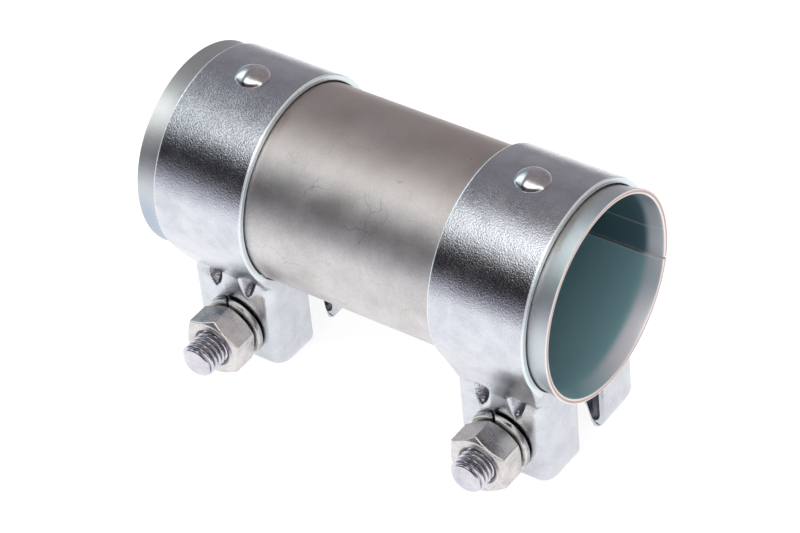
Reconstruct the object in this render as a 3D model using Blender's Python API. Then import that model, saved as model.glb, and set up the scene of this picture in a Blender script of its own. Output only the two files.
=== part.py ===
"""Sleeve connector for a steel pipe: a rolled sleeve with two bolted band clamps.

+X runs along the sleeve, +Z is up, and the nuts face -Y. The origin is the middle of the
bounding box's bottom, so the clamps' ears stand on Z = 0. All sizes are in metres.
"""
import math

import bmesh
import bpy
from mathutils import Vector

MM = 0.001
NAME = "pipe_repair_clamp"

# Sleeve: one sheet rolled into a tube, its ends a slit apart at the back, both mouths flared.
SLEEVE_LENGTH = 125.0 * MM
SHEET = 1.4 * MM
BORE_RADIUS = 25.45 * MM
FLARE = 1.05 * MM
FLARE_LENGTH = 6.5 * MM
SLIT_DEG = -14.0
SLIT = 0.6 * MM
SLEEVE_STEPS = 84

# Bands: a strip round the sleeve, pressed into a box-shaped ear at each end.
BAND_CENTRES = {"left": -42.5 * MM, "right": 42.5 * MM}
BAND_WIDTH = 28.0 * MM
STRIP = 1.7 * MM
BAND_GAP = 0.3 * MM
BAND_STEP_DEG = 7.6
EAR_HALF_WIDTH = 13.3 * MM
EAR_CORNER = 2.8 * MM
EAR_BOTTOM = -53.8 * MM
EAR_FOOT_CORNER = 5.5 * MM
FOOT_SCOOP = 7.6 * MM
FRONT_PLATE = {"left": 19.5 * MM, "right": 21.0 * MM}
FRONT_RIM = {"left": 4.8 * MM, "right": 6.0 * MM}
BACK_PLATE = 21.0 * MM
BACK_RIM = 6.0 * MM
LEAVES_SLEEVE_DEG = 24.0
CREASE_DEG = 50.0
DART_OFFSET = 4.7 * MM
DART_DEPTH = 1.7 * MM
DART_FOOT = -29.5 * MM

# Rivet on the top of each band, through band and sleeve.
RIVET_HEAD_RADIUS = 4.6 * MM
RIVET_HEAD_HEIGHT = 1.9 * MM
RIVET_SHANK_RADIUS = 2.5 * MM

# M10 fasteners across the ears.
BOLT_Z = -40.1 * MM
BOLT_END = 37.5 * MM
THREAD_RADIUS = 4.9 * MM
THREAD_CHAMFER = 0.9 * MM
HEX_FLATS = 16.0 * MM
NUT_HEIGHT = 8.4 * MM
HEAD_HEIGHT = 6.4 * MM
NUT_TURN_DEG = {"left": 20.0, "right": 32.0}
WASHER_RADIUS = 9.05 * MM
WASHER_THICKNESS = 2.2 * MM
WASHER_SPLIT = 1.2 * MM
CLEARANCE = 0.3 * MM
EAR_HOLE_RADIUS = 5.5 * MM

SLEEVE_RADIUS = BORE_RADIUS + SHEET
BAND_RADIUS = SLEEVE_RADIUS + BAND_GAP
BOLT_HEAD = BACK_PLATE + CLEARANCE
AXIS = Vector((0.0, (BOLT_END - BAND_RADIUS - STRIP) / 2, -EAR_BOTTOM))

METALS = {
    "sleeve_zinc": ((0.60, 0.58, 0.56), 0.42),
    "band_zinc": ((0.78, 0.78, 0.82), 0.28),
    "rivet_zinc": ((0.80, 0.80, 0.83), 0.20),
    "bolt_zinc": ((0.78, 0.80, 0.84), 0.25),
    "washer_zinc": ((0.72, 0.71, 0.70), 0.30),
    "nut_zinc": ((0.66, 0.64, 0.61), 0.45),
}


def clear_scene():
    """Empty the scene."""
    for item in list(bpy.data.objects):
        bpy.data.objects.remove(item, do_unlink=True)
    for group in list(bpy.data.collections):
        bpy.data.collections.remove(group)


def new_collection(name):
    """A collection linked to the scene."""
    group = bpy.data.collections.new(name)
    bpy.context.scene.collection.children.link(group)
    return group


def metal(name):
    """A plated-steel material."""
    colour, rough = METALS[name]
    item = bpy.data.materials.new(name)
    item.use_nodes = True
    shader = item.node_tree.nodes["Principled BSDF"]
    shader.inputs["Base Color"].default_value = (*colour, 1.0)
    shader.inputs["Metallic"].default_value = 1.0
    shader.inputs["Roughness"].default_value = rough
    return item


def smoothstep(low, high, value):
    """0 below low, 1 above high, smooth between."""
    share = min(max((value - low) / (high - low), 0.0), 1.0)
    return share * share * (3.0 - 2.0 * share)


def finish(name, points, faces, group, material, origin=Vector()):
    """Make one closed object from points measured from its origin."""
    mesh = bpy.data.meshes.new(name)
    mesh.from_pydata([tuple(p) for p in points], [], faces)
    work = bmesh.new()
    work.from_mesh(mesh)
    bmesh.ops.remove_doubles(work, verts=work.verts, dist=2e-6)
    bmesh.ops.dissolve_degenerate(work, edges=work.edges, dist=1e-6)
    bmesh.ops.recalc_face_normals(work, faces=work.faces)
    work.to_mesh(mesh)
    work.free()
    item = bpy.data.objects.new(name, mesh)
    item.location = origin
    if material:
        mesh.materials.append(material)
    group.objects.link(item)
    return item


def loft(rows):
    """Points and faces of a solid through closed rows of points, capped at both ends."""
    count = len(rows[0])
    points = [p for row in rows for p in row]
    faces = []
    for r in range(len(rows) - 1):
        for c in range(count):
            d = (c + 1) % count
            faces.append((r * count + c, r * count + d, (r + 1) * count + d, (r + 1) * count + c))
    last = (len(rows) - 1) * count
    faces.append(tuple(reversed(range(count))))
    faces.append(tuple(range(last, last + count)))
    return points, faces


def cut(item, cutter, how="DIFFERENCE"):
    """Apply one exact boolean."""
    step = item.modifiers.new(how.lower(), "BOOLEAN")
    step.operation = how
    step.solver = "EXACT"
    step.object = cutter
    cutter.hide_render = True
    cutter.display_type = "WIRE"


def turned(name, outline, group, material, origin, steps=24, along_y=True):
    """A solid of revolution: outline is (radius, distance along the axis) from end to end."""
    points, faces = [], []
    count = len(outline)
    for s in range(steps):
        turn = 2 * math.pi * (s + 0.37) / steps
        for radius, reach in outline:
            side, rise = radius * math.cos(turn), radius * math.sin(turn)
            points.append((side, reach, rise) if along_y else (side, rise, reach))
    closed = outline[0][0] > 0
    for s in range(steps):
        t = (s + 1) % steps
        for c in range(count if closed else count - 1):
            d = (c + 1) % count
            faces.append((s * count + c, s * count + d, t * count + d, t * count + c))
    return finish(name, points, faces, group, material, origin)


# ---------------------------------------------------------------- sleeve

def build_sleeve(group, material):
    """The rolled sheet, lofted along X from its cross-section."""
    slit = math.degrees(SLIT / SLEEVE_RADIUS)
    first, last = SLIT_DEG + 360.0 - slit, SLIT_DEG
    angles = [first + (last - first) * i / SLEEVE_STEPS for i in range(SLEEVE_STEPS + 1)]
    half = SLEEVE_LENGTH / 2
    start = half - FLARE_LENGTH
    stations = [0.0, 0.35, 0.6, 0.8, 1.0]
    stations = [start + FLARE_LENGTH * s for s in stations]
    stations = [-s for s in reversed(stations)] + stations
    rows = []
    for x in stations:
        flare = FLARE * (max(abs(x) - start, 0.0) / FLARE_LENGTH) ** 1.4
        row = []
        for radius, order in ((SLEEVE_RADIUS, angles), (BORE_RADIUS, reversed(angles))):
            for deg in order:
                r = radius + flare
                a = math.radians(deg)
                row.append((x, r * math.cos(a), r * math.sin(a)))
        rows.append(row)
    count, pairs = len(rows[0]), len(angles)
    points, faces = loft(rows)
    faces = faces[:-2]
    for base, flip in ((0, False), ((len(rows) - 1) * count, True)):
        for i in range(pairs - 1):
            quad = (base + i, base + i + 1, base + count - 2 - i, base + count - 1 - i)
            faces.append(tuple(reversed(quad)) if flip else quad)
    return finish("sleeve", points, faces, group, material, AXIS)


# ---------------------------------------------------------------- bands

def dart(x, reach):
    """Depth of the pressed darts at offset x; reach is 0 at their foot and 1 at the crease."""
    reach = min(max(reach, 0.0), 1.0)
    near = max(0.0, 1.0 - abs(abs(x) - DART_OFFSET) / (2.6 * MM))
    return DART_DEPTH * near * reach


def section(outer, rim, width, corner, floor, inner_width, reach):
    """One closed cross-section of the strip.

    outer and rim are (outward, z) points of the face and of the free edge; floor is the
    distance from the rim to the inside face, 0 where the strip is solid.
    """
    depth = math.dist(outer, rim)
    way = ((outer[0] - rim[0]) / depth, (outer[1] - rim[1]) / depth)
    offsets = [-7.1, -4.7, -2.3, 0.0, 2.3, 4.7, 7.1]
    offsets = [o * MM for o in offsets]
    corner = min(corner, depth * 0.5)
    flat = []
    for side in (-1, 1):
        arc = [(side * (width - corner + corner * math.sin(t)), depth - corner + corner * math.cos(t))
               for t in (0.0, math.pi / 6, math.pi / 3, math.pi / 2)]
        wall = [(side * width, 0.0), (side * inner_width, 0.0), (side * inner_width, floor)]
        flat.append(arc + wall)
    limit = width - corner
    top = [(max(-limit, min(limit, o)), depth - dart(o, reach)) for o in offsets]
    under = []
    for o in offsets:
        x = max(-inner_width, min(inner_width, o))
        under.append((x, max(floor - dart(o, reach), 0.0)))
    loop = list(reversed(flat[0])) + top + flat[1] + list(reversed(under))
    return [(x, rim[0] + way[0] * d, rim[1] + way[1] * d) for x, d in loop]


def ear_width(z, radius, half_width):
    """Half width of an ear at height z, rounded at the foot."""
    centre = EAR_BOTTOM + EAR_FOOT_CORNER
    drop = min(max(centre - z, 0.0) / radius, 1.0)
    return half_width - radius + radius * math.sqrt(1.0 - drop * drop)


def scooped(row, plate, rim):
    """Draw the foot's free edge back towards the plate between the ear's corners."""
    moved = []
    for x, h, z in row:
        depth = min(max((h - rim) / (plate - rim), 0.0), 1.0)
        wide = min(abs(x) / (EAR_HALF_WIDTH - STRIP), 1.0)
        shift = FOOT_SCOOP * 0.5 * (1.0 + math.cos(math.pi * wide)) * (1.0 - depth) ** 2
        moved.append((x, h + shift, z))
    return moved


def ear_sections(plate, rim):
    """Sections from where the strip leaves the sleeve down to the ear's foot."""
    rows = []
    for i in range(6):
        share = i / 5
        deg = LEAVES_SLEEVE_DEG + (CREASE_DEG - LEAVES_SLEEVE_DEG) * share
        a = math.radians(deg)
        crease = plate / math.cos(math.radians(CREASE_DEG))
        lift = (crease - BAND_RADIUS - STRIP) * share ** 2
        face = BAND_RADIUS + STRIP + lift
        mix = smoothstep(0.0, 1.0, share)
        width = BAND_WIDTH / 2 + (EAR_HALF_WIDTH - BAND_WIDTH / 2) * mix
        rows.append(section(
            (face * math.cos(a), -face * math.sin(a)),
            (BAND_RADIUS * math.cos(a), -BAND_RADIUS * math.sin(a)),
            width, (0.5 * MM) + (EAR_CORNER - 0.5 * MM) * mix, lift, width - STRIP, (share - 0.6) / 0.4))
    crease_z = -plate * math.tan(math.radians(CREASE_DEG))
    rim_end = math.degrees(math.acos(rim / BAND_RADIUS))
    for share, drop in ((0.35, 0.8), (0.7, 1.8), (1.0, 3.0)):
        a = math.radians(CREASE_DEG + (rim_end - CREASE_DEG) * share)
        outer = (plate, crease_z - drop * MM)
        low = (BAND_RADIUS * math.cos(a), -BAND_RADIUS * math.sin(a))
        reach = (outer[1] - DART_FOOT) / (crease_z - DART_FOOT)
        rows.append(section(outer, low, EAR_HALF_WIDTH, EAR_CORNER, math.dist(outer, low) - STRIP,
                            EAR_HALF_WIDTH - STRIP, reach))
    round_z, slant_z = -48.3 * MM, -51.0 * MM
    floor_z = EAR_BOTTOM + STRIP
    for level in (-29.6, -34.0, -40.1, -46.0, -48.3, -49.2, -50.1, -51.0, -51.7, -52.3, -52.3001, -53.8):
        z = level * MM
        face = plate
        if z < round_z:
            drop = min((round_z - z) / (round_z - slant_z), 1.0)
            face = plate - EAR_CORNER * (1.0 - math.sqrt(max(1.0 - drop * drop, 0.0)))
        if z < slant_z:
            share = (slant_z - z) / (slant_z - EAR_BOTTOM)
            face = (plate - EAR_CORNER) * (1.0 - share) + (rim + STRIP) * share
        width = ear_width(z, EAR_FOOT_CORNER, EAR_HALF_WIDTH)
        inner = ear_width(z, EAR_FOOT_CORNER - STRIP, EAR_HALF_WIDTH - STRIP)
        hollow = face - rim - STRIP
        if z < round_z:
            hollow *= max((z - floor_z) / (round_z - floor_z), 0.0) ** 0.6
        if z < floor_z:
            hollow, inner = 0.0, width - STRIP
        row = section((face, z), (rim, z), width, min(EAR_CORNER, (face - rim) / 2), hollow, inner, 0.0)
        rows.append(scooped(row, plate, rim) if z < round_z else row)
    return rows


def build_band(side, group, cutters, material):
    """One strip: front ear, round the sleeve, back ear; then its bolt and rivet holes."""
    front = [[(x, -h, z) for x, h, z in row]
             for row in ear_sections(FRONT_PLATE[side], FRONT_RIM[side])]
    back = ear_sections(BACK_PLATE, BACK_RIM)
    span = 180.0 + 2 * LEAVES_SLEEVE_DEG
    steps = round(span / BAND_STEP_DEG)
    middle = []
    for i in range(1, steps):
        deg = -LEAVES_SLEEVE_DEG + span * i / steps
        a = math.radians(deg)
        face = BAND_RADIUS + STRIP
        width = BAND_WIDTH / 2
        row = section((-face * math.cos(a), face * math.sin(a)),
                      (-BAND_RADIUS * math.cos(a), BAND_RADIUS * math.sin(a)),
                      width, 0.5 * MM, 0.0, width - STRIP, 0.0)
        middle.append(row)
    points, faces = loft(list(reversed(front)) + middle + back)
    centre = AXIS + Vector((BAND_CENTRES[side], 0.0, 0.0))
    band = finish("band_" + side, points, faces, group, material, centre)
    reach = 40.0 * MM
    hole = turned("bolt_hole_" + side, [(0.0, -reach), (EAR_HOLE_RADIUS, -reach),
                                        (EAR_HOLE_RADIUS, reach), (0.0, reach)],
                  cutters, None, centre + Vector((0.0, 0.0, BOLT_Z)), 24)
    cut(band, hole)
    return band


# ---------------------------------------------------------------- rivets and fasteners

def build_rivet(side, group, material):
    """Domed head on the band, shank through both walls and flush with the bore."""
    base = BAND_RADIUS + STRIP + CLEARANCE
    head = RIVET_HEAD_RADIUS
    ball = (head ** 2 + RIVET_HEAD_HEIGHT ** 2) / (2 * RIVET_HEAD_HEIGHT)
    widest = math.asin(head / ball)
    outline = [(0.0, BORE_RADIUS), (RIVET_SHANK_RADIUS, BORE_RADIUS), (RIVET_SHANK_RADIUS, base),
               (head, base)]
    for i in range(1, 6):
        t = widest * (1.0 - i / 5)
        outline.append((ball * math.sin(t), base + RIVET_HEAD_HEIGHT - ball + ball * math.cos(t)))
    centre = AXIS + Vector((BAND_CENTRES[side], 0.0, 0.0))
    return turned("rivet_" + side, outline, group, material, centre, 24, along_y=False)


def rivet_hole(side, cutters):
    """Cutter for the rivet's hole in band and sleeve."""
    low, high = BORE_RADIUS - 3 * MM, BAND_RADIUS + 4 * MM
    radius = RIVET_SHANK_RADIUS + CLEARANCE
    centre = AXIS + Vector((BAND_CENTRES[side], 0.0, 0.0))
    return turned("rivet_hole_" + side, [(0.0, low), (radius, low), (radius, high), (0.0, high)],
                  cutters, None, centre, 20, along_y=False)


def hex_block(name, height, both_ends, turn, group, cutters, material, origin):
    """A hexagon from Y = 0 to -height, its corners taken off as on a turned nut."""
    corner = HEX_FLATS / 2 / math.cos(math.pi / 6)
    ring = [(corner * math.cos(turn + k * math.pi / 3), corner * math.sin(turn + k * math.pi / 3))
            for k in range(6)]
    rows = [[(x, y, z) for x, z in ring] for y in (0.0, -height)]
    block = finish(name, *loft(rows), group, material, origin)
    flat, fall = HEX_FLATS / 2 * 0.97, (corner - HEX_FLATS / 2 * 0.97) * 0.55
    wide = corner + 0.2 * MM
    back = [(0.0, 0.5 * MM), (wide, 0.5 * MM)]
    if both_ends:
        back = [(0.0, 0.0), (flat, 0.0), (wide, -fall * 1.1)]
    outline = back + [(wide, -height + fall * 1.1), (flat, -height), (0.0, -height)]
    barrel = turned(name + "_barrel", outline, cutters, None, origin, 36)
    cut(block, barrel, "INTERSECT")
    return block


def bolt_axis(side):
    """The bolt's axis where it crosses the sleeve's middle plane."""
    return AXIS + Vector((BAND_CENTRES[side], 0.0, BOLT_Z))


def build_bolt(side, group, cutters, material):
    """Hex-headed bolt: head behind the back ear, threaded end out at the front."""
    axis = bolt_axis(side)
    radius, tip = THREAD_RADIUS, THREAD_CHAMFER
    bolt = hex_block("bolt_" + side, HEAD_HEIGHT, False, 0.0, group, cutters, material,
                     axis + Vector((0.0, BOLT_HEAD + HEAD_HEIGHT, 0.0)))
    shank = turned("shank_" + side, [(0.0, BOLT_HEAD + 1.0 * MM), (radius, BOLT_HEAD + 1.0 * MM),
                                     (radius, -BOLT_END + tip), (radius - tip, -BOLT_END),
                                     (0.0, -BOLT_END)], cutters, None, axis, 24)
    cut(bolt, shank, "UNION")
    return bolt


def washer_seat(side):
    """Y of the washer's seat on the front ear, measured from the sleeve's middle plane."""
    return -FRONT_PLATE[side] - CLEARANCE


def build_washer(side, group, cutters, material):
    """Split spring washer, flattened between nut and ear; its slot leans across the ring."""
    inner = THREAD_RADIUS + CLEARANCE
    origin = bolt_axis(side) + Vector((0.0, washer_seat(side), 0.0))
    washer = turned("spring_washer_" + side,
                    [(inner, 0.0), (WASHER_RADIUS, 0.0), (WASHER_RADIUS, -WASHER_THICKNESS),
                     (inner, -WASHER_THICKNESS)], group, material, origin, 36)
    half, tall = WASHER_SPLIT / 2, 8.0 * MM
    lean = 0.9 * MM
    rows = []
    for z in (2.0 * MM, 2.0 * MM + tall):
        rows.append([(-half + lean, 1.0 * MM, z), (half + lean, 1.0 * MM, z),
                     (half - lean, -1.0 * MM - WASHER_THICKNESS, z),
                     (-half - lean, -1.0 * MM - WASHER_THICKNESS, z)])
    slot = finish("split_" + side, *loft(rows), cutters, None, origin)
    cut(washer, slot)
    return washer


def build_nut(side, group, cutters, material):
    """Hex nut against the spring washer."""
    origin = bolt_axis(side) + Vector((0.0, washer_seat(side) - WASHER_THICKNESS - CLEARANCE, 0.0))
    nut = hex_block("nut_" + side, NUT_HEIGHT, True, math.radians(NUT_TURN_DEG[side]),
                    group, cutters, material, origin)
    bore = THREAD_RADIUS + CLEARANCE
    deep = 0.6 * MM
    hole = turned("nut_bore_" + side,
                  [(0.0, 1.0 * MM), (bore + deep + 1.0 * MM, 1.0 * MM), (bore, -deep),
                   (bore, -NUT_HEIGHT + deep), (bore + deep + 1.0 * MM, -NUT_HEIGHT - 1.0 * MM),
                   (0.0, -NUT_HEIGHT - 1.0 * MM)], cutters, None, origin, 24)
    cut(nut, hole)
    return nut


def main():
    """Build every piece."""
    clear_scene()
    group = new_collection(NAME)
    cutters = new_collection("cutters")
    metals = {name: metal(name) for name in METALS}
    sleeve = build_sleeve(group, metals["sleeve_zinc"])
    for side in ("left", "right"):
        band = build_band(side, group, cutters, metals["band_zinc"])
        hole = rivet_hole(side, cutters)
        cut(band, hole)
        cut(sleeve, hole)
        build_rivet(side, group, metals["rivet_zinc"])
        build_bolt(side, group, cutters, metals["bolt_zinc"])
        build_washer(side, group, cutters, metals["washer_zinc"])
        build_nut(side, group, cutters, metals["nut_zinc"])


main()
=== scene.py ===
"""Looks for a rolled sleeve connector with two bolted band clamps.

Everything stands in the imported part's frame: +X along the sleeve, +Z up, nuts towards -Y.
"""
from __future__ import annotations

import logging
import math
from dataclasses import dataclass, field, replace
from enum import Enum

import bmesh
import bpy
import numpy as np
from mathutils import Matrix, Vector

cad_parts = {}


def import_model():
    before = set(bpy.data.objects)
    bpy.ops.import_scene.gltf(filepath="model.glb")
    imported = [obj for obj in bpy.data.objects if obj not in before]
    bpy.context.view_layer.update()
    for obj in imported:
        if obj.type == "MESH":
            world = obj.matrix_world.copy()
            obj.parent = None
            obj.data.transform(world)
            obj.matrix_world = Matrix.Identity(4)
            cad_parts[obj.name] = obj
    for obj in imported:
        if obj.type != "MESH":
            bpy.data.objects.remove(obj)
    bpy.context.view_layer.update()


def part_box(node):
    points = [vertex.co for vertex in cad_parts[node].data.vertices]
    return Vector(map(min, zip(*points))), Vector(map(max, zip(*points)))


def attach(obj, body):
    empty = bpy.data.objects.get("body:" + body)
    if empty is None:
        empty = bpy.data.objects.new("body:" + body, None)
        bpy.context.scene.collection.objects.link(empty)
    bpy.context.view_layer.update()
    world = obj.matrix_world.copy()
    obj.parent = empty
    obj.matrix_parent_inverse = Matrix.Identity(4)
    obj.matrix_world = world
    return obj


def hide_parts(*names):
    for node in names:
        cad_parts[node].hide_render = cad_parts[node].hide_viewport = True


LOG = logging.getLogger("clamp")
MM = 0.001
MERGE = 0.004 * MM  # points closer than this become one
SLIVER = 0.002 * MM  # edges shorter than this are dissolved
CRISP_DEG = 40.0  # edges sharper than this keep a crisp shade

Item = bpy.types.Object
Tree = bpy.types.NodeTree
Socket = bpy.types.NodeSocket
# Tones laid one over another: a mask and its hex colour.
Layers = list[tuple[Socket, str]]
# Panels of the light tent: where each is in degrees, its colour and, if very bright, how much.
Panels = tuple[tuple[float, str] | tuple[float, str, float], ...]


class Side(Enum):
    """Which clamp, as seen from the nuts."""

    LEFT = "left"
    RIGHT = "right"


class Edge(Enum):
    """How a mesh grid closes on itself."""

    OPEN = 0
    ROUND = 1


# ---- small tools ----


def linear(code: str) -> tuple[float, float, float, float]:
    """Turn an sRGB hex colour into linear light.

    Args:
        code: colour such as "#C0FFEE".

    Returns:
        Red, green, blue and an alpha of 1.
    """
    parts = [int(code[i : i + 2], 16) / 255 for i in (1, 3, 5)]
    light = [p / 12.92 if p <= 0.04045 else ((p + 0.055) / 1.055) ** 2.4 for p in parts]
    return (*light, 1.0)


def smooth(low: float, high: float, value: np.ndarray) -> np.ndarray:
    """Smooth step: 0 below low, 1 above high, 3t^2 - 2t^3 between.

    Args:
        low: where the step starts.
        high: where it ends.
        value: where to evaluate it.

    Returns:
        The step's height at each value.
    """
    t = np.clip((np.asarray(value, float) - low) / (high - low), 0.0, 1.0)
    return t * t * (3.0 - 2.0 * t)


def add(tree: Tree, kind: str, settings: dict | None = None, links: dict | None = None) -> bpy.types.Node:
    """Add one shader node.

    Args:
        tree: the node tree.
        kind: the node's type name without "ShaderNode".
        settings: attributes by name, and socket defaults by socket name or number; "stops" holds
            a colour ramp's (position, hex colour) pairs, with a third number where one is brighter.
        links: output sockets by the name or number of the input they feed.

    Returns:
        The new node.
    """
    item = tree.nodes.new("ShaderNode" + kind)
    for key, value in (settings or {}).items():
        if key == "stops":
            bar = item.color_ramp.elements
            while len(bar) < len(value):
                bar.new(0.5)
            for element, (position, code, *gain) in zip(bar, value):
                element.position = position
                element.color = [part * (gain or [1.0])[0] for part in linear(code)]
        elif isinstance(key, str) and hasattr(item, key):
            setattr(item, key, value)
        else:
            item.inputs[key].default_value = value
    for key, socket in (links or {}).items():
        tree.links.new(socket, item.inputs[key])
    return item


def grid_faces(rows: int, cols: int, along: Edge, across: Edge) -> np.ndarray:
    """Quads of a grid of points numbered row by row.

    Args:
        rows: number of rows.
        cols: points in a row.
        along: whether the last row joins the first.
        across: whether each row closes on itself.

    Returns:
        An array of quads.
    """
    r = np.arange(rows if along is Edge.ROUND else rows - 1)[:, None]
    c = np.arange(cols if across is Edge.ROUND else cols - 1)[None, :]
    r2, c2 = (r + 1) % rows, (c + 1) % cols
    quads = np.stack([r * cols + c, r * cols + c2, r2 * cols + c2, r2 * cols + c], axis=-1)
    return quads.reshape(-1, 4)


def make_piece(
    name: str,
    points: np.ndarray,
    faces: list,
    sharp_deg: float = CRISP_DEG,
    marks: dict[str, np.ndarray] | None = None,
) -> Item:
    """Put points and faces into a new closed object at the origin.

    Args:
        name: the object's name.
        points: vertices, in metres.
        faces: arrays or lists of vertex numbers.
        sharp_deg: edges sharper than this keep a crisp shade, in degrees.
        marks: float attributes by name, one value per vertex.

    Returns:
        The object, linked to the scene.
    """
    mesh = bpy.data.meshes.new(name)
    mesh.from_pydata(np.asarray(points).tolist(), [], [list(map(int, f)) for f in faces])
    for key, values in (marks or {}).items():
        layer = mesh.attributes.new(key, "FLOAT", "POINT")
        layer.data.foreach_set("value", np.asarray(values, np.float32))
    work = bmesh.new()
    work.from_mesh(mesh)
    bmesh.ops.remove_doubles(work, verts=work.verts, dist=MERGE)
    bmesh.ops.dissolve_degenerate(work, edges=work.edges, dist=SLIVER)
    bmesh.ops.recalc_face_normals(work, faces=work.faces)
    work.to_mesh(mesh)
    work.free()
    mesh.polygons.foreach_set("use_smooth", np.ones(len(mesh.polygons), bool))
    mesh.set_sharp_from_angle(angle=math.radians(sharp_deg))
    item = bpy.data.objects.new(name, mesh)
    bpy.context.scene.collection.objects.link(item)
    return item


def spun(outline: np.ndarray, steps: int) -> tuple[np.ndarray, np.ndarray]:
    """Turn an outline about Y.

    Each outline point (radius, y) becomes the ring (radius cos t, y, radius sin t).

    Args:
        outline: (radius, y) pairs.
        steps: points round each ring.

    Returns:
        Points and quads; the ends are open unless their radius is zero.
    """
    t = np.arange(steps) * 2 * np.pi / steps
    radius, reach = outline[:, 0][:, None], outline[:, 1][:, None]
    reach = np.broadcast_to(reach, (len(outline), steps))
    points = np.stack([radius * np.cos(t), reach, radius * np.sin(t)], -1)
    return points.reshape(-1, 3), grid_faces(len(outline), steps, Edge.OPEN, Edge.ROUND)


def cut(item: Item, cutter: Item) -> None:
    """Cut one object out of another and keep only the result.

    Args:
        item: the object that is cut.
        cutter: the object taken away, which is removed afterwards.
    """
    step = item.modifiers.new("cut", "BOOLEAN")
    step.operation = "DIFFERENCE"
    step.solver = "EXACT"
    step.object = cutter
    graph = bpy.context.evaluated_depsgraph_get()
    old = item.data
    item.data = bpy.data.meshes.new_from_object(item.evaluated_get(graph))
    item.modifiers.clear()
    bpy.data.meshes.remove(old)
    bpy.data.objects.remove(cutter, do_unlink=True)
    item.data.set_sharp_from_angle(angle=math.radians(CRISP_DEG))


def dress(piece: Item, material: bpy.types.Material, body: str, node: str) -> None:
    """Give a piece its material and its place in the frame.

    Args:
        piece: the new piece.
        material: its material.
        body: the body it rides on.
        node: the CAD node it stands for.
    """
    piece.data.materials.clear()
    piece.data.materials.append(material)
    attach(piece, body)
    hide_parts(node)
    LOG.info("%s: %d faces", piece.name, len(piece.data.polygons))


# ---- finishes ----


@dataclass(frozen=True)
class ZincPlate:
    """Electroplated zinc on steel: a metal with a thin passivation layer.

    Colour and shade are the layer's light and dark tones, mixed by blotches and by the steel's
    grain, which also shows as a fine relief, over the slow wave that rolling leaves. Lengths are
    in millimetres. Where the mesh attribute dull_mark is 1, the metal is less of a mirror.
    """

    name: str
    colour: str
    shade: str
    rough: float
    rough_spread: float
    grain: float
    grain_depth: float
    blotch: float
    wave_depth: float = 0.0
    wave: float = 9.0
    speck_spacing: float = 8.0
    dust: str = "#3A3634"
    dull_mark: str = ""
    dull_metal: float = 1.0

    def make(self) -> bpy.types.Material:
        """Build the material.

        Returns:
            The node material.
        """
        item = bpy.data.materials.new(self.name)
        item.use_nodes = True
        tree = item.node_tree
        shader = tree.nodes["Principled BSDF"].inputs
        shader["Metallic"].default_value = 1.0
        place = add(tree, "TexCoord").outputs["Object"]
        where = {"Vector": place}
        blotch = add(tree, "TexNoise", {"Scale": 1 / (self.blotch * MM), "Detail": 4.0, "Roughness": 0.6},
                     where).outputs["Fac"]
        grain = add(tree, "TexNoise", {"Scale": 1 / (self.grain * MM), "Detail": 2.0, "Roughness": 0.7},
                    where).outputs["Fac"]
        mixed = add(tree, "Math", {"operation": "MULTIPLY_ADD", 1: 0.5}, {0: grain, 2: blotch})
        tones = [(0.55, self.shade), (0.9, self.colour)]
        tint = add(tree, "ValToRGB", {"stops": tones}, {0: mixed.outputs[0]}).outputs[0]
        for mask, code in [(self.specks(tree, place), self.dust), *self.layers(tree, place)]:
            tint = add(tree, "Mix", {"data_type": "RGBA", 7: linear(code)}, {0: mask, 6: tint}).outputs[2]
        tree.links.new(tint, shader["Base Color"])
        if self.dull_mark:
            here = add(tree, "Attribute", {"attribute_name": self.dull_mark}).outputs["Fac"]
            metal = add(tree, "MapRange", {"To Min": 1.0, "To Max": self.dull_metal}, {"Value": here})
            tree.links.new(metal.outputs[0], shader["Metallic"])
        spread = {"From Min": 0.35, "From Max": 0.65, "To Min": self.rough - self.rough_spread,
                  "To Max": self.rough + self.rough_spread}
        rough = add(tree, "MapRange", spread, {"Value": blotch})
        tree.links.new(rough.outputs[0], shader["Roughness"])
        relief = add(tree, "Bump", {"Strength": 1.0, "Distance": self.grain_depth * MM}, {"Height": grain})
        if self.wave_depth:
            wave = add(tree, "TexNoise", {"Scale": 1 / (self.wave * MM), "Detail": 1.0}, where)
            relief = add(tree, "Bump", {"Strength": 1.0, "Distance": self.wave_depth * MM},
                         {"Height": wave.outputs["Fac"], "Normal": relief.outputs[0]})
        tree.links.new(relief.outputs[0], shader["Normal"])
        return item

    def specks(self, tree: Tree, place: Socket) -> Socket:
        """Mask of a few dark specks of dust, a third of a millimetre across.

        Args:
            tree: the node tree.
            place: Object coordinates.

        Returns:
            The mask.
        """
        cells = {"Scale": 1 / (self.speck_spacing * MM)}
        spot = add(tree, "TexVoronoi", cells, {"Vector": place}).outputs
        near = add(tree, "MapRange", {"From Min": 0.025, "From Max": 0.045, "To Min": 0.75, "To Max": 0.0},
                   {"Value": spot["Distance"]}).outputs[0]
        few = add(tree, "Math", {"operation": "GREATER_THAN", 1: 0.6}, {0: spot["Color"]}).outputs[0]
        return add(tree, "Math", {"operation": "MULTIPLY"}, {0: near, 1: few}).outputs[0]

    def layers(self, tree: Tree, place: Socket) -> Layers:
        """Tones laid over the plate; a plain one has none.

        Args:
            tree: the node tree.
            place: Object coordinates.

        Returns:
            Masks with their hex colours, the lowest first.
        """
        return []


@dataclass(frozen=True)
class TwoTonePlate(ZincPlate):
    """Zinc plate with a second tone where the mesh says so: a sheared edge, darker thread roots."""

    dull_mark: str = "second"
    dull_metal: float = 0.6
    second: str = "#E2ECF0"

    def layers(self, tree: Tree, place: Socket) -> Layers:
        """The second tone, by the mesh's own mark."""
        return [(add(tree, "Attribute", {"attribute_name": self.dull_mark}).outputs["Fac"], self.second)]


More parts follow.
